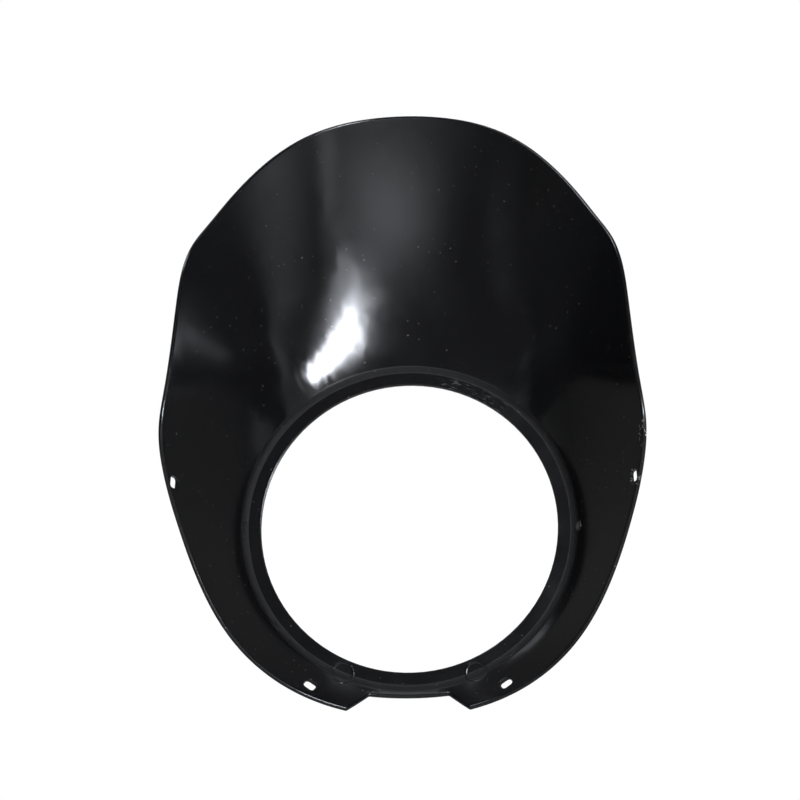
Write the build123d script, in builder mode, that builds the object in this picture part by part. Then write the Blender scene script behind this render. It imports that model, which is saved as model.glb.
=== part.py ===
from build123d import *
from math import cos, degrees, radians, sin
import os

os.makedirs("parts", exist_ok=True)

# The cowl stands as on the motorcycle: +Y forward, +X to the rider's right, +Z up.
# The origin is the centre of the headlamp opening, on the front face of its flange.
# Every size is in millimetres or degrees.

# Headlamp opening, with the flat flange that is turned in around it
opening_diameter = 160.0
flange_width = 7.0
wall = 2.2
bend_radius = 4.0
opening_front_radius = 0.3
opening_rear_radius = 0.6

# Angle between the flange and the wall where the wall leaves the bend
side_angle = 66.0
top_angle = 4.5
bottom_angle = 35.5
angle_sharpness = 3.0

# Radius of the wall's own sweep towards the rider: nearly straight at the sides, arched in the screen
side_sweep_radius = 3300.0
screen_sweep_radius = 320.0

# Rim seen from the side: its depth behind the front face at each height, lowest point first
rim_depth = 87.0
bottom_depth = 12.4
bottom_height = -106.2
lower_depth = 39.6
lower_height = -70.4
flank_depth = 60.8
flank_height = -15.0
ear_depth = 77.6
ear_height = 14.0
ear_top_height = 44.0

# Top edge of the screen seen from behind, running out past the shoulders
screen_height = 222.9
crown_reach = 47.0
crown_height = 212.0
slope_reach = 104.6
slope_height = 145.0
shoulder_reach = 141.5
shoulder_height = 70.0
shoulder_radius = 6.5

# Rounding of the rim
rim_inner_radius = 1.1
rim_outer_radius = 0.5

# Notch in the bottom edge, cut square to the wall; each reach is measured along the wall from the bend
notch_floor_width = 42.0
notch_mouth_width = 62.5
notch_floor_reach = 4.8
notch_mouth_reach = 17.4
notch_corner_radius = 1.5

# Bracket slots, long side across the wall, placed by turn around the opening and distance in from the rim
slot_length = 8.0
slot_width = 6.2
slot_corner_radius = 1.8
side_slot_turn = 3.5
side_slot_inset = 6.8
lower_slot_turn = -60.0
lower_slot_inset = 9.8

opening_radius = opening_diameter / 2
bend_start = opening_radius + flange_width
flange_start = opening_radius - wall
outer_bend_radius = bend_radius + wall
notch_length = 2 * (notch_mouth_reach - notch_floor_reach)
notch_foot_width = 2 * notch_mouth_width - notch_floor_width

# Turn of the wall sections: 0 at the side, 90 at the top, -90 at the bottom
# The spare ones run past the middle at each end, so that the two halves meet without a crease
section_step = 5
spare_sections = 5
last_turn = 90 + spare_sections * section_step
section_turns = range(-last_turn, last_turn + section_step, section_step)


def around(turn, side, top, bottom, sharpness):
    """Value at a turn around the opening, blended from its values at the side, top and bottom."""
    end = top if turn > 0 else bottom
    return side + (end - side) * abs(sin(radians(turn))) ** sharpness


def wall_angle(turn):
    return around(turn, side_angle, top_angle, bottom_angle, angle_sharpness)


def sweep_radius(turn):
    return 1 / around(turn, 1 / side_sweep_radius, 1 / screen_sweep_radius, 1 / side_sweep_radius, 2)


def radial_plane(turn):
    """Plane through the axis of the opening: local x outwards, local y towards the rider."""
    outwards = (cos(radians(turn)), 0, sin(radians(turn)))
    square = (sin(radians(turn)), 0, -cos(radians(turn)))
    return Plane(origin=(0, 0, 0), x_dir=outwards, z_dir=square)


def wall_point(turn, reach):
    """Point on the outside of the wall, at a reach along it from the end of the bend."""
    angle = radians(wall_angle(turn))
    radius = sweep_radius(turn)
    end_angle = angle + reach / radius
    outwards = bend_start + (outer_bend_radius - radius) * sin(angle) + radius * sin(end_angle)
    depth = outer_bend_radius + (radius - outer_bend_radius) * cos(angle) - radius * cos(end_angle)
    return radial_plane(turn).from_local_coords(Vector(outwards, depth, 0))


def wall_plane(turn, reach):
    """Plane on the outside of the wall: local x out towards the rim, local z out of the cowl."""
    out = wall_point(turn, reach + 1) - wall_point(turn, reach - 1)
    along = wall_point(turn + 1, reach) - wall_point(turn - 1, reach)
    return Plane(origin=wall_point(turn, reach), x_dir=out, z_dir=along.cross(out))


# Space the wall may run through: in front of the rim seen from the side, under its top edge seen from behind
with BuildPart() as envelope:
    with BuildSketch(Plane.YZ):
        with BuildLine():
            lower_rim = Spline(
                (-bottom_depth, bottom_height),
                (-lower_depth, lower_height),
                (-flank_depth, flank_height),
                (-ear_depth, ear_height),
                (-rim_depth, ear_top_height),
                tangents=((-1, 1), (0, 1)),
            )
            Polyline(
                lower_rim @ 1,
                (-rim_depth, 2 * screen_height),
                (rim_depth, 2 * screen_height),
                (rim_depth, bottom_height),
                lower_rim @ 0,
            )
        make_face()
    extrude(amount=2 * shoulder_reach, both=True)
    with BuildSketch(Plane.XZ):
        with BuildLine():
            top_edge = Spline(
                (-shoulder_reach, shoulder_height),
                (-slope_reach, slope_height),
                (-crown_reach, crown_height),
                (0, screen_height),
                (crown_reach, crown_height),
                (slope_reach, slope_height),
                (shoulder_reach, shoulder_height),
            )
            Polyline(
                top_edge @ 1,
                (shoulder_reach, 2 * bottom_height),
                (-shoulder_reach, 2 * bottom_height),
                top_edge @ 0,
            )
        make_face()
    extrude(amount=2 * rim_depth, both=True, mode=Mode.INTERSECT)
    rear = envelope.faces().filter_by(Axis.Y).sort_by(Axis.Y)[0]
    fillet(rear.edges().filter_by(GeomType.BSPLINE), shoulder_radius)


def wall_length(turn):
    """Length of the wall along its outside, from the end of the bend to the rim."""
    with BuildLine(radial_plane(turn)) as run:
        front = Line((flange_start, 0), (bend_start, 0))
        bend = JernArc(front @ 1, front % 1, outer_bend_radius, wall_angle(turn))
        JernArc(bend @ 1, bend % 1, sweep_radius(turn), degrees(screen_height / sweep_radius(turn)))
    inside = run.edges()[-1] & envelope.part
    return sum(edge.length for edge in inside.edges())


def wall_section(turn):
    """Section of flange, bend and wall in one radial plane, ending square at the rim."""
    angle = wall_angle(turn)
    radius = sweep_radius(turn)
    sweep = degrees(wall_length(turn) / radius)
    with BuildSketch(radial_plane(turn)) as section:
        with BuildLine():
            front = Line((flange_start, 0), (bend_start, 0))
            outer_bend = JernArc(front @ 1, front % 1, outer_bend_radius, angle)
            outer_wall = JernArc(outer_bend @ 1, outer_bend % 1, radius, sweep)
            back = Line((flange_start, wall), (bend_start, wall))
            inner_bend = JernArc(back @ 1, back % 1, bend_radius, angle)
            inner_wall = JernArc(inner_bend @ 1, inner_bend % 1, radius - wall, sweep)
            Line(outer_wall @ 1, inner_wall @ 1)
            Line(front @ 0, back @ 0)
        make_face()
    return section.sketch


# The right half is shaped first, then mirrored
with BuildPart() as cowl:
    loft([wall_section(turn) for turn in section_turns])
    split(bisect_by=Plane.YZ, keep=Keep.TOP)

    # Notch in the bottom edge
    with BuildSketch(wall_plane(-90, notch_floor_reach)) as notch:
        with BuildLine():
            Polyline(
                (0, -notch_floor_width / 2),
                (notch_length, -notch_foot_width / 2),
                (notch_length, notch_foot_width / 2),
                (0, notch_floor_width / 2),
                close=True,
            )
        make_face()
        fillet(notch.vertices().group_by(Axis.X)[0], notch_corner_radius)
    extrude(amount=notch_length, both=True, mode=Mode.SUBTRACT)

    # Rounded corner between notch and rim, then rounding along the whole edge, inside and outside
    rim_end = wall_plane(0, wall_length(0))
    rim_inside = rim_end.from_local_coords((0, 0, -wall))
    rim = cowl.faces().sort_by_distance((rim_end.origin + rim_inside) / 2)[0]
    notch_side = cowl.faces(Select.LAST).filter_by(GeomType.PLANE).sort_by(Axis.X)[-1]
    fillet(rim.edges() & notch_side.edges(), notch_corner_radius)
    fillet(cowl.edges().sort_by_distance(rim_inside)[0], rim_inner_radius)
    fillet(cowl.edges().sort_by_distance(rim_end.origin)[0], rim_outer_radius)

    # Bracket slots
    for turn, inset in ((side_slot_turn, side_slot_inset), (lower_slot_turn, lower_slot_inset)):
        with BuildSketch(wall_plane(turn, wall_length(turn) - inset)):
            RectangleRounded(slot_length, slot_width, slot_corner_radius)
        extrude(amount=3 * wall, both=True, mode=Mode.SUBTRACT)

    mirror(about=Plane.YZ)

    # Headlamp opening with softened edges
    with Locations(Plane.XZ):
        Hole(opening_radius)
    bore = cowl.faces().filter_by(GeomType.CYLINDER).sort_by(Face.area)[-1]
    fillet(bore.edges().filter_by(GeomType.CIRCLE).sort_by(Axis.Y)[0], opening_rear_radius)
    bore = cowl.faces().filter_by(GeomType.CYLINDER).sort_by(Face.area)[-1]
    fillet(bore.edges().filter_by(GeomType.CIRCLE).sort_by(Axis.Y)[-1], opening_front_radius)

cowl.part.label = "headlight_cowl"
export_step(cowl.part, "parts/headlight_cowl.step")
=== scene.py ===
"""Looks of a moulded headlight cowl, in metres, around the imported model.

The cowl is seen from the rider's side: inside of the shell, round headlamp opening,
notched bottom edge. +X is the rider's right, +Y is forward, +Z is up.
"""

from math import cos, pi, radians, sin, tan
from types import SimpleNamespace

import bpy
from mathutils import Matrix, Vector
from mathutils.bvhtree import BVHTree


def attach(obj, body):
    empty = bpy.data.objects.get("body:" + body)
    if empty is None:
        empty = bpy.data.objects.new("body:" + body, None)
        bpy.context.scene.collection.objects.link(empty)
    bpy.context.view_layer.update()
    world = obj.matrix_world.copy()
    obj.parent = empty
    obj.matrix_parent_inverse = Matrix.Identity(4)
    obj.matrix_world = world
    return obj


bl_info = {
    "name": "Headlight cowl",
    "version": (1, 0, 0),
    "blender": (4, 5, 0),
    "location": "View3D > Sidebar > Cowl",
    "description": "Finish and studio for a moulded headlight cowl",
    "category": "Object",
}

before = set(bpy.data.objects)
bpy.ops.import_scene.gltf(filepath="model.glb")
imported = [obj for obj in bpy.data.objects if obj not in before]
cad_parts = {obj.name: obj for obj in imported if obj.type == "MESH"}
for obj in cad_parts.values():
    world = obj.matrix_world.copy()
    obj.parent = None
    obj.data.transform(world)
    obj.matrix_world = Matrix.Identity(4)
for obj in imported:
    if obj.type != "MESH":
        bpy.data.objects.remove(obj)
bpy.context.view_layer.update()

NODE = "headlight_cowl"
BODY = "root"
MM = 0.001

# Marks on the shell, in millimetres from the middle of the opening
# Rings left by the ejector pins: distance to each side, height, radius, half width, rise
PIN_RING = (35.5, -80.7, 4.15, 0.6, 0.25)
# Nubs left where the gates were cut off: middle, reach, rise
NUBS = (
    ((91.0, -5.6, -2.5), 2.4, 1.0),
    ((-89.4, -2.2, 3.5), 0.9, 0.3),
    ((-89.5, -2.5, -5.0), 0.9, 0.3),
)
# Places where the edge is chipped pale: middle, reach
CHIPS = (
    ((125.0, -88.0, 24.0), 10.5),
    ((120.5, -68.0, 7.0), 6.0),
)
# Radius where the flat flange ends, and of the middle of the bend that follows
FLANGE_END = 87.5
BEND_MIDDLE = 88.8
# Scrapes on the flange: turn from the right towards the top, and reach to each side of it
SCRAPE_TURN = radians(65)
SCRAPE_REACH = radians(19)
# The shading leans outward from the flange to here, at most by this much
LEAN_START = 100.0
LEAN_END = 138.0
LEAN = 1.05

FLOOR_SIZE = 30.0
BACKDROP_SIZE = 2.2
BACKDROP_DISTANCE = 3.9
LAMP_SPREAD = radians(100)
LAMPS = (
    # name, azimuth, elevation, roll, distance, width, height, feather, radiance
    ("key_softbox", 24.5, 3.6, -28, 2.2, 0.84, 0.36, 0.2, 56.0),
    ("key_edge", 37, -4.0, 0, 2.2, 0.44, 0.36, 0.45, 7.0),
    ("low_softbox", 8, -16, 0, 1.5, 3.0, 1.0, 0.5, 0.9),
    ("low_strip", 46, -15, 0, 1.2, 0.21, 0.5, 0.4, 1.0),
    ("side_fill", 74, -8, 0, 1.8, 1.8, 1.2, 0.5, 0.7),
    ("left_card", -57, -6, 0, 2.0, 1.0, 0.6, 0.5, 0.15),
    ("ceiling_lamp", -36, 46, 0, 1.8, 0.8, 0.7, 0.3, 10.0),
    ("overhead", 0, 85, 0, 1.8, 1.6, 1.6, 0.2, 1.2),
    ("front_fill", 180, 36, 0, 1.8, 2.0, 1.5, 0.4, 2.4),
)
# The floor washes hang over the floor behind, beside and before the cowl and point straight down
FLOOR_WASHES = (
    # name, place, width, feather, radiance
    ("rear_wash", (0.5, -2.4, 1.5), 1.4, 0.3, 17.0),
    ("right_wash", (2.6, 0.4, 1.5), 1.4, 0.3, 6.0),
    ("front_wash", (0.0, 2.6, 1.5), 1.4, 0.3, 12.0),
)


def linear(colour):
    """Linear RGBA of an sRGB hex colour."""
    parts = [int(colour.lstrip("#")[k : k + 2], 16) / 255 for k in (0, 2, 4)]
    return [c / 12.92 if c <= 0.04045 else ((c + 0.055) / 1.055) ** 2.4 for c in parts] + [1.0]


def add_node(tree, kind, inputs=None, out=0, **settings):
    """Add one shader node and give back one of its outputs, if it has any.

    The settings are its properties; the inputs are its values, or the sockets that feed it.
    """
    node = tree.nodes.new(kind)
    for name, value in settings.items():
        setattr(node, name, value)
    for name, value in (inputs or {}).items():
        if isinstance(value, bpy.types.NodeSocket):
            tree.links.new(value, node.inputs[name])
        else:
            node.inputs[name].default_value = value
    return node.outputs[out] if node.outputs else None


def towards(azimuth, elevation):
    """Unit vector from the cowl to that azimuth (0 behind it, 90 on its right) and elevation."""
    level = cos(elevation)
    return Vector((sin(azimuth) * level, -cos(azimuth) * level, sin(elevation)))


class CowlFinish(bpy.types.PropertyGroup):
    plastic: bpy.props.FloatVectorProperty(
        name="Plastic",
        description="Colour of the moulded shell",
        subtype="COLOR",
        size=4,
        default=linear("#0E0E0F"),
    )
    gloss: bpy.props.FloatProperty(
        name="Roughness",
        description="Roughness of a clean moulded face",
        subtype="FACTOR",
        min=0,
        max=1,
        default=0.13,
    )
    haze: bpy.props.FloatProperty(
        name="Haze",
        description="Roughness added in the dullest patches",
        subtype="FACTOR",
        min=0,
        max=1,
        default=0.08,
    )
    dust: bpy.props.FloatProperty(
        name="Dust",
        description="How much the specks of dust show",
        subtype="FACTOR",
        min=0,
        max=1,
        default=0.45,
    )
    grime: bpy.props.FloatVectorProperty(
        name="Dust colour",
        description="Colour of the dust",
        subtype="COLOR",
        size=4,
        default=linear("#8E8D88"),
    )
    # The scuff colour also paints the faint highlight along the bend
    scuff_and_bend_highlight: bpy.props.FloatVectorProperty(
        name="Scuff colour",
        description="Colour of scraped plastic",
        subtype="COLOR",
        size=4,
        default=linear("#A6A49E"),
    )


class CowlStudio(bpy.types.PropertyGroup):
    camera_place: bpy.props.FloatVectorProperty(
        name="Camera",
        description="Place of the camera",
        subtype="XYZ",
        unit="LENGTH",
        default=(0.0601, -1.2551, -0.3334),
    )
    view_azimuth: bpy.props.FloatProperty(
        name="View azimuth",
        description="Turn of the view around the cowl",
        subtype="ANGLE",
        default=radians(2.97),
    )
    view_elevation: bpy.props.FloatProperty(
        name="View elevation",
        description="Height angle of the view",
        subtype="ANGLE",
        default=radians(-17.88),
    )
    lens: bpy.props.FloatProperty(
        name="Lens", description="Focal length in millimetres", min=1, default=108.27
    )
    lit_point: bpy.props.FloatVectorProperty(
        name="Lit point",
        description="Point that the lamps stand around",
        subtype="XYZ",
        unit="LENGTH",
        default=(-0.04, -0.01, 0.1),
    )
    lamp_colour: bpy.props.FloatVectorProperty(
        name="Lamp colour",
        description="Colour of the light from the lamps",
        subtype="COLOR",
        size=4,
        default=linear("#F2F6FF"),
    )
    ambient: bpy.props.FloatProperty(
        name="Ambient", description="Level of the even light from all around", min=0, default=0.09
    )
    floor_height: bpy.props.FloatProperty(
        name="Floor height", description="Height of the studio floor", unit="LENGTH", default=-0.7
    )
    floor_colour: bpy.props.FloatVectorProperty(
        name="Floor colour",
        description="Colour of the studio floor",
        subtype="COLOR",
        size=4,
        default=linear("#E6E6E4"),
    )


def shell_place(tree):
    """Sockets for the place on the shell, in millimetres from the middle of the opening."""
    metres = add_node(tree, "ShaderNodeTexCoord", out="Object")
    point = add_node(tree, "ShaderNodeVectorMath", {0: metres, "Scale": 1 / MM}, operation="SCALE")
    x = add_node(tree, "ShaderNodeSeparateXYZ", {0: point}, "X")
    z = add_node(tree, "ShaderNodeSeparateXYZ", {0: point}, "Z")
    flat = add_node(tree, "ShaderNodeCombineXYZ", {"X": x, "Z": z})
    out = add_node(tree, "ShaderNodeVectorMath", {0: flat}, "Value", operation="LENGTH")
    # 1 on the faces that look to the rear, into the shell
    normal = add_node(tree, "ShaderNodeNewGeometry", out="Normal")
    facing = add_node(tree, "ShaderNodeSeparateXYZ", {0: normal}, "Y")
    inside = add_node(tree, "ShaderNodeMath", {0: facing, 1: 0.0}, operation="LESS_THAN")
    return SimpleNamespace(point=point, x=x, z=z, flat=flat, out=out, inside=inside)


def dust_specks(tree, at):
    """Dust: one speck in some of the 3 mm cells, drawn up to 0.7 mm across so that it shows."""
    cells = {"Vector": at.point, "Scale": 1 / 3}
    distance = add_node(tree, "ShaderNodeTexVoronoi", cells, "Distance", feature="F1")
    chance = add_node(tree, "ShaderNodeTexVoronoi", cells, "Color", feature="F1")
    chance = add_node(tree, "ShaderNodeSeparateColor", {0: chance})
    size = add_node(tree, "ShaderNodeMapRange", {0: chance, 1: 0.3, 2: 1.0, 3: 0.0, 4: 0.11})
    return add_node(tree, "ShaderNodeMath", {0: distance, 1: size}, operation="LESS_THAN")


def hairlines(tree, at):
    """Hairline scratches, 0.3 mm wide and about 30 mm long, in two directions."""
    scratches = 0.0
    for angle in (radians(35), radians(-62)):
        lines = add_node(
            tree,
            "ShaderNodeMapping",
            {"Vector": at.point, "Rotation": (0, angle, angle), "Scale": (1 / 30, 1 / 30, 1 / 0.6)},
        )
        streak = add_node(tree, "ShaderNodeTexNoise", {"Vector": lines, "Scale": 1.0, "Detail": 1.0})
        line = add_node(tree, "ShaderNodeMapRange", {0: streak, 1: 0.73, 2: 0.80, 3: 0.0, 4: 1.0})
        scratches = add_node(tree, "ShaderNodeMath", {0: line, 1: scratches}, operation="MAXIMUM")
    return scratches


def pale_scuffs(tree, at):
    """Pale scuffs: trimming scrapes along the flange, chips on the edge, and the gate nubs."""
    turn = add_node(tree, "ShaderNodeMath", {0: at.z, 1: at.x}, operation="ARCTAN2")
    flange = add_node(
        tree, "ShaderNodeMapRange", {0: at.out, 1: FLANGE_END, 2: FLANGE_END - 1.5, 3: 0.0, 4: 1.0}
    )
    sector = add_node(tree, "ShaderNodeMath", {0: turn, 1: SCRAPE_TURN}, operation="SUBTRACT")
    sector = add_node(tree, "ShaderNodeMath", {0: sector}, operation="ABSOLUTE")
    sector = add_node(
        tree, "ShaderNodeMapRange", {0: sector, 1: SCRAPE_REACH, 2: radians(8), 3: 0.0, 4: 1.0}
    )
    window = add_node(tree, "ShaderNodeMath", {0: flange, 1: sector}, operation="MULTIPLY")
    window = add_node(tree, "ShaderNodeMath", {0: window, 1: at.inside}, operation="MULTIPLY")
    # Scrapes about 5 mm long and 0.6 mm wide, along the flange, whose middle is 85 mm out
    along = add_node(tree, "ShaderNodeMath", {0: turn, 1: 85 / 5}, operation="MULTIPLY")
    across = add_node(tree, "ShaderNodeMath", {0: at.out, 1: 1 / 0.6}, operation="MULTIPLY")
    scrape = add_node(tree, "ShaderNodeCombineXYZ", {"X": along, "Y": across})
    scrape = add_node(tree, "ShaderNodeTexNoise", {"Vector": scrape, "Scale": 1.0, "Detail": 3.0})
    scrape = add_node(tree, "ShaderNodeMapRange", {0: scrape, 1: 0.57, 2: 0.68, 3: 0.0, 4: 0.22})
    scuffs = add_node(tree, "ShaderNodeMath", {0: scrape, 1: window}, operation="MULTIPLY")

    # Chips about 1.6 mm across
    chip = add_node(tree, "ShaderNodeTexNoise", {"Vector": at.point, "Scale": 1 / 1.6, "Detail": 2.0})
    chip = add_node(tree, "ShaderNodeMapRange", {0: chip, 1: 0.58, 2: 0.64, 3: 0.0, 4: 1.0})
    spots = [(middle, reach, reach * 0.6, chip) for middle, reach in CHIPS]
    spots += [(middle, reach * 1.2, reach * 0.4, 0.3) for middle, reach, _ in NUBS]
    for middle, start, full, strength in spots:
        near = add_node(tree, "ShaderNodeVectorMath", {0: at.point, 1: middle}, "Value", operation="DISTANCE")
        near = add_node(tree, "ShaderNodeMapRange", {0: near, 1: start, 2: full, 3: 0.0, 4: 1.0})
        near = add_node(tree, "ShaderNodeMath", {0: near, 1: strength}, operation="MULTIPLY")
        scuffs = add_node(tree, "ShaderNodeMath", {0: near, 1: scuffs}, operation="MAXIMUM")
    return scuffs


def bend_dulling_and_painted_highlight(tree, at):
    """Band along the bend all round: a thin line made duller and less shiny, whose colour also carries a
    faint painted highlight.
    """
    bend = add_node(tree, "ShaderNodeMath", {0: at.out, 1: BEND_MIDDLE}, operation="SUBTRACT")
    bend = add_node(tree, "ShaderNodeMath", {0: bend}, operation="ABSOLUTE")
    bend = add_node(tree, "ShaderNodeMapRange", {0: bend, 1: 1.2, 2: 2.4, 3: 0.8, 4: 0.0})
    return add_node(tree, "ShaderNodeMath", {0: bend, 1: at.inside}, operation="MULTIPLY")


def leaning_normal(tree, at):
    """Normal of the upper wall as if it ran in flatter beside the flange, more so to each side.

    This draws the shine down to the flange.
    """
    upper = add_node(tree, "ShaderNodeMath", {0: at.z, 1: at.out}, operation="DIVIDE")
    upper = add_node(
        tree,
        "ShaderNodeMapRange",
        {0: upper, 1: 0.76, 2: 0.87, 3: 0.0, 4: LEAN},
        interpolation_type="SMOOTHSTEP",
    )
    aside = add_node(tree, "ShaderNodeMath", {0: at.x, 1: at.out}, operation="DIVIDE")
    aside = add_node(tree, "ShaderNodeMath", {0: aside, 1: aside}, operation="MULTIPLY")
    beside = add_node(tree, "ShaderNodeMapRange", {0: at.out, 1: LEAN_START, 2: LEAN_END, 3: 1.0, 4: 0.0})
    beyond = add_node(
        tree, "ShaderNodeMapRange", {0: at.out, 1: FLANGE_END + 0.5, 2: FLANGE_END + 4.5, 3: 0.0, 4: 1.0}
    )
    tilt = upper
    for factor in (at.inside, aside, beside, beyond):
        tilt = add_node(tree, "ShaderNodeMath", {0: tilt, 1: factor}, operation="MULTIPLY")
    outward = add_node(tree, "ShaderNodeVectorMath", {0: at.flat}, operation="NORMALIZE")
    outward = add_node(tree, "ShaderNodeVectorMath", {0: outward, "Scale": tilt}, operation="SCALE")
    # Edges catch the light as if rounded by about half a millimetre
    rounded = add_node(tree, "ShaderNodeBevel", {"Radius": 0.6 * MM}, samples=6)
    leaning = add_node(tree, "ShaderNodeVectorMath", {0: rounded, 1: outward}, operation="ADD")
    return add_node(tree, "ShaderNodeVectorMath", {0: leaning}, operation="NORMALIZE")


def plastic_material(finish):
    """Gloss black moulded ABS.

    The polished mould leaves it nearly black with a soft, hazy shine; handling adds dust, hairline
    scratches and pale scuffs.
    """
    material = bpy.data.materials.new("gloss black moulded ABS")
    material.use_nodes = True
    tree = material.node_tree
    tree.nodes.clear()
    at = shell_place(tree)
    specks = dust_specks(tree, at)
    dust = add_node(tree, "ShaderNodeMath", {0: specks, 1: finish.dust}, operation="MULTIPLY")
    scratches = hairlines(tree, at)
    scuffs = pale_scuffs(tree, at)
    # Band along the bend: duller, less shiny, and a little paler as a painted highlight
    bend = bend_dulling_and_painted_highlight(tree, at)

    # Height in millimetres: slow waves of the moulded wall, about 35 mm long, scuffs and scratches
    wave = add_node(tree, "ShaderNodeTexNoise", {"Vector": at.point, "Scale": 1 / 35, "Detail": 1.0})
    height = add_node(tree, "ShaderNodeMath", {0: wave, 1: 0.018}, operation="MULTIPLY")
    for mark, depth in ((scuffs, -0.05), (scratches, -0.002)):
        height = add_node(tree, "ShaderNodeMath", {0: mark, 1: depth, 2: height}, operation="MULTIPLY_ADD")
    relief = add_node(
        tree,
        "ShaderNodeBump",
        {"Height": height, "Normal": leaning_normal(tree, at), "Strength": 1.0, "Distance": MM},
    )

    # Near-black plastic under dust and scuffs, with a faint pale painted highlight along the bend
    painted_bend_highlight = add_node(tree, "ShaderNodeMath", {0: bend, 1: 0.03}, operation="MULTIPLY")
    colour = finish.plastic[:]
    for cover, tint in ((dust, finish.grime), (scuffs, finish.scuff_and_bend_highlight), (painted_bend_highlight, finish.scuff_and_bend_highlight)):
        colour = add_node(tree, "ShaderNodeMix", {0: cover, 6: colour, 7: tint[:]}, 2, data_type="RGBA")

    # Cloudy haze, about 22 mm across, dulls the shine in patches; what is worn is duller still
    cloud = add_node(
        tree, "ShaderNodeTexNoise", {"Vector": at.point, "Scale": 1 / 22, "Detail": 2.0, "Roughness": 0.6}
    )
    clean, hazy = finish.gloss, finish.gloss + finish.haze
    haze = add_node(tree, "ShaderNodeMapRange", {0: cloud, 1: 0.35, 2: 0.75, 3: clean, 4: hazy})
    worn = add_node(tree, "ShaderNodeMath", {0: dust, 1: scuffs}, operation="MAXIMUM")
    worn = add_node(tree, "ShaderNodeMath", {0: scratches, 1: 0.12, 2: worn}, operation="MULTIPLY_ADD")
    worn = add_node(tree, "ShaderNodeMath", {0: worn, 1: bend}, operation="MAXIMUM")
    rough = add_node(tree, "ShaderNodeMix", {0: worn, 2: haze, 3: 0.65})
    shine = add_node(tree, "ShaderNodeMapRange", {0: bend, 1: 0.0, 2: 0.8, 3: 0.5, 4: 0.1})
    shader = add_node(
        tree,
        "ShaderNodeBsdfPrincipled",
        {"Base Color": colour, "Roughness": rough, "Specular IOR Level": shine, "IOR": 1.5, "Normal": relief},
    )
    add_node(tree, "ShaderNodeOutputMaterial", {"Surface": shader})
    return material


class COWL_OT_shell(bpy.types.Operator):
    """Give the shell its finish"""

    bl_idname = "cowl.shell"
    bl_label = "Cowl shell"

    def execute(self, context):
        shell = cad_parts[NODE]
        shell.data.materials.clear()
        shell.data.materials.append(plastic_material(context.scene.cowl_finish))
        # Even shading across the seams between the CAD faces, with the slots left crisp
        weld = shell.modifiers.new("join seams", "WELD")
        weld.merge_threshold = 0.02 * MM
        split = shell.modifiers.new("crisp slots", "EDGE_SPLIT")
        split.split_angle = radians(40)
        shell.modifiers.new("even shading", "WEIGHTED_NORMAL")
        return {"FINISHED"}


class COWL_OT_marks(bpy.types.Operator):
    """Raise the ejector rings and the gate nubs on the inside of the shell"""

    bl_idname = "cowl.marks"
    bl_label = "Mould marks"

    def execute(self, context):
        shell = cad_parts[NODE]
        wall = BVHTree.FromObject(shell, context.evaluated_depsgraph_get())
        side, height, radius, half_width, rise = PIN_RING
        turns = [2 * pi * k / 12 for k in range(12)]
        profile = [(radius - half_width * cos(turn), rise * sin(turn)) for turn in turns]
        for name, x in (("ejector_ring_right", side), ("ejector_ring_left", -side)):
            # Straight forward from well behind the shell
            hit = wall.ray_cast(Vector((x, -120, height)) * MM, Vector((0, 1, 0)))
            self.mark(shell, wall, name, hit[0], hit[1], profile, True)
        turns = [pi * k / 10 for k in range(1, 10)]
        for number, (middle, reach, rise) in enumerate(NUBS, 1):
            profile = [(reach * sin(turn), rise * cos(turn)) for turn in turns]
            hit = wall.find_nearest(Vector(middle) * MM)
            self.mark(shell, wall, f"gate_nub_{number}", hit[0], hit[1], profile, False)
        return {"FINISHED"}

    def mark(self, shell, wall, name, place, normal, profile, ring):
        """Closed mesh on the wall around a place, from circles of that radius and height in millimetres.

        A ring joins the last circle to the first; any other mark is capped at both.
        """
        steps = 32
        clear = 4 * MM
        across = normal.orthogonal()
        along = normal.cross(across)
        points = []
        for radius, height in profile:
            for k in range(steps):
                turn = 2 * pi * k / steps
                start = place + (across * cos(turn) + along * sin(turn)) * radius * MM
                foot = wall.ray_cast(start + normal * clear, -normal)[0]
                if foot is None:
                    raise RuntimeError(f"{name} runs off the wall")
                points.append(foot + normal * height * MM)
        circles = [list(range(j * steps, (j + 1) * steps)) for j in range(len(profile))]
        pairs = list(zip(circles, circles[1:]))
        if ring:
            pairs.append((circles[-1], circles[0]))
        faces = [(a[k - 1], b[k - 1], b[k], a[k]) for a, b in pairs for k in range(steps)]
        if not ring:
            faces += [circles[0], circles[-1][::-1]]
        mesh = bpy.data.meshes.new(name)
        mesh.from_pydata(points, [], faces)
        mesh.shade_smooth()
        mesh.materials.append(shell.data.materials[0])
        mark = bpy.data.objects.new(name, mesh)
        bpy.context.scene.collection.objects.link(mark)
        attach(mark, BODY)


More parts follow.
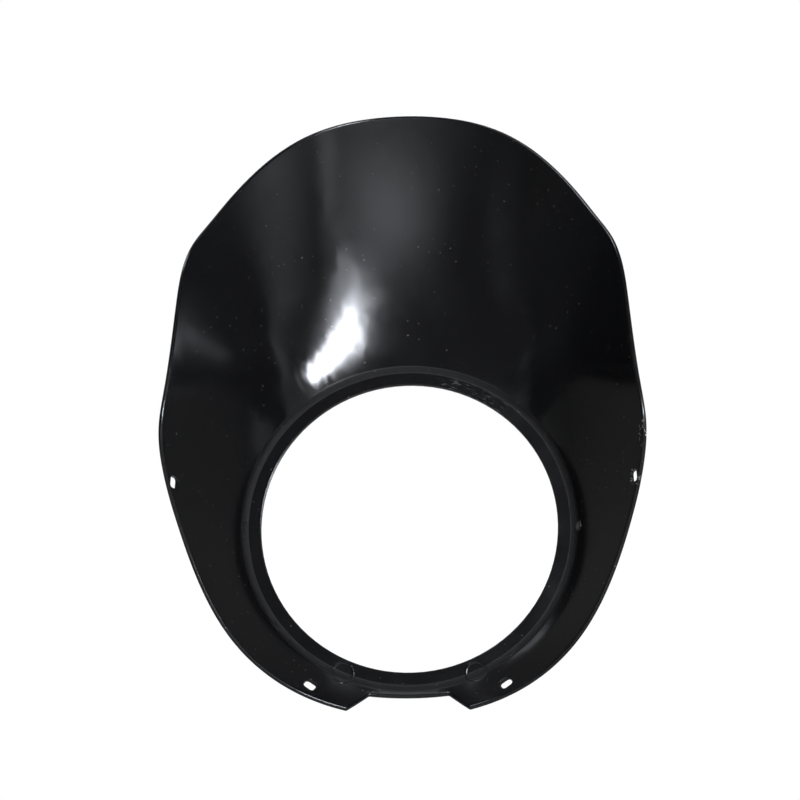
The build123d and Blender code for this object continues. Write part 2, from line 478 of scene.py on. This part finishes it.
class COWL_OT_stage(bpy.types.Operator):
    """Set up the floor, the backdrop, the lamps and the camera"""

    bl_idname = "cowl.stage"
    bl_label = "Studio"

    def execute(self, context):
        scene = context.scene
        studio = scene.cowl_studio
        colour = studio.lamp_colour[:]
        scene.view_settings.view_transform = "Standard"

        floor = self.sheet("floor", FLOOR_SIZE)
        floor.location = (0, 0, studio.floor_height)
        floor.data.materials.append(self.paper("pale studio floor", studio.floor_colour[:], 0.0))

        back = towards(studio.view_azimuth, studio.view_elevation)
        backdrop = self.sheet("backdrop", BACKDROP_SIZE)
        backdrop.location = Vector(studio.camera_place) - back * BACKDROP_DISTANCE
        backdrop.rotation_euler = back.to_track_quat("Z", "Y").to_euler()
        backdrop.data.materials.append(self.paper("white backdrop", linear("#FFFFFF"), 1.0))

        for name, azimuth, elevation, roll, distance, width, height, feather, radiance in LAMPS:
            direction = towards(radians(azimuth), radians(elevation))
            lamp = self.softbox(name, width, height, feather, radiance, colour)
            lamp.location = Vector(studio.lit_point) + direction * distance
            lamp.rotation_euler = direction.to_track_quat("Z", "Y").to_euler()
            lamp.rotation_euler.rotate_axis("Z", radians(roll))

        for name, place, width, feather, radiance in FLOOR_WASHES:
            self.softbox(name, width, width, feather, radiance, colour).location = place

        world = bpy.data.worlds.new("studio")
        world.use_nodes = True
        world.node_tree.nodes["Background"].inputs["Color"].default_value = [studio.ambient] * 3 + [1]
        scene.world = world

        camera = bpy.data.objects.new("camera", bpy.data.cameras.new("camera"))
        camera.data.lens = studio.lens
        camera.location = studio.camera_place
        camera.rotation_euler = back.to_track_quat("Z", "Y").to_euler()
        scene.collection.objects.link(camera)
        scene.camera = camera
        return {"FINISHED"}

    def softbox(self, name, width, height, feather, radiance, colour):
        """Area lamp, unseen by the camera itself, that fades over that share of its width and height."""
        light = bpy.data.lights.new(name, "AREA")
        light.shape = "RECTANGLE"
        light.size = width
        light.size_y = height
        light.spread = LAMP_SPREAD
        # With this energy, the strength below is the radiance that is seen along the lamp's axis
        light.energy = 4 * width * height * (1 - LAMP_SPREAD / 2 / tan(LAMP_SPREAD / 2))
        light.use_nodes = True
        tree = light.node_tree
        tree.nodes.clear()
        place = add_node(tree, "ShaderNodeNewGeometry", out="Parametric")
        strength = radiance
        for axis in ("X", "Y"):
            across = add_node(tree, "ShaderNodeSeparateXYZ", {0: place}, axis)
            across = add_node(tree, "ShaderNodeMath", {0: across, 1: 0.5}, operation="SUBTRACT")
            across = add_node(tree, "ShaderNodeMath", {0: across}, operation="ABSOLUTE")
            fade = add_node(
                tree,
                "ShaderNodeMapRange",
                {0: across, 1: 0.5 - feather, 2: 0.5, 3: 1.0, 4: 0.0},
                interpolation_type="SMOOTHSTEP",
            )
            strength = add_node(tree, "ShaderNodeMath", {0: fade, 1: strength}, operation="MULTIPLY")
        glow = add_node(tree, "ShaderNodeEmission", {"Color": colour, "Strength": strength})
        add_node(tree, "ShaderNodeOutputLight", {"Surface": glow})
        lamp = bpy.data.objects.new(name, light)
        lamp.visible_camera = False
        bpy.context.scene.collection.objects.link(lamp)
        return lamp

    def sheet(self, name, width):
        """Flat square sheet that is no part of the cowl."""
        mesh = bpy.data.meshes.new(name)
        h = width / 2
        mesh.from_pydata([(-h, -h, 0), (h, -h, 0), (h, h, 0), (-h, h, 0)], [], [(0, 1, 2, 3)])
        sheet = bpy.data.objects.new(name, mesh)
        bpy.context.scene.collection.objects.link(sheet)
        return sheet

    def paper(self, name, colour, glow):
        """Matt paper; with a glow it is plain white to the camera and in reflections, and lights nothing."""
        material = bpy.data.materials.new(name)
        material.use_nodes = True
        tree = material.node_tree
        tree.nodes.clear()
        surface = add_node(tree, "ShaderNodeBsdfDiffuse", {"Color": colour, "Roughness": 1.0})
        if glow:
            seen = add_node(tree, "ShaderNodeLightPath", out="Is Camera Ray")
            for kind in ("Is Glossy Ray", "Is Transmission Ray"):
                ray = add_node(tree, "ShaderNodeLightPath", out=kind)
                seen = add_node(tree, "ShaderNodeMath", {0: seen, 1: ray}, operation="MAXIMUM")
            white = add_node(tree, "ShaderNodeEmission", {"Color": colour, "Strength": glow})
            surface = add_node(tree, "ShaderNodeMixShader", {0: seen, 1: surface, 2: white})
        add_node(tree, "ShaderNodeOutputMaterial", {"Surface": surface})
        return material


class COWL_PT_sidebar(bpy.types.Panel):
    bl_label = "Headlight cowl"
    bl_idname = "COWL_PT_sidebar"
    bl_space_type = "VIEW_3D"
    bl_region_type = "UI"
    bl_category = "Cowl"

    def draw(self, context):
        for group in (context.scene.cowl_finish, context.scene.cowl_studio):
            for name in group.__annotations__:
                self.layout.prop(group, name)
        for operator in (COWL_OT_shell, COWL_OT_marks, COWL_OT_stage):
            self.layout.operator(operator.bl_idname)


CLASSES = (CowlFinish, CowlStudio, COWL_OT_shell, COWL_OT_marks, COWL_OT_stage, COWL_PT_sidebar)


def register():
    for cls in CLASSES:
        bpy.utils.register_class(cls)
    bpy.types.Scene.cowl_finish = bpy.props.PointerProperty(type=CowlFinish)
    bpy.types.Scene.cowl_studio = bpy.props.PointerProperty(type=CowlStudio)


def unregister():
    del bpy.types.Scene.cowl_studio
    del bpy.types.Scene.cowl_finish
    for cls in reversed(CLASSES):
        bpy.utils.unregister_class(cls)


def main():
    register()
    bpy.ops.cowl.shell()
    bpy.ops.cowl.marks()
    bpy.ops.cowl.stage()


if __name__ == "__main__":
    main()
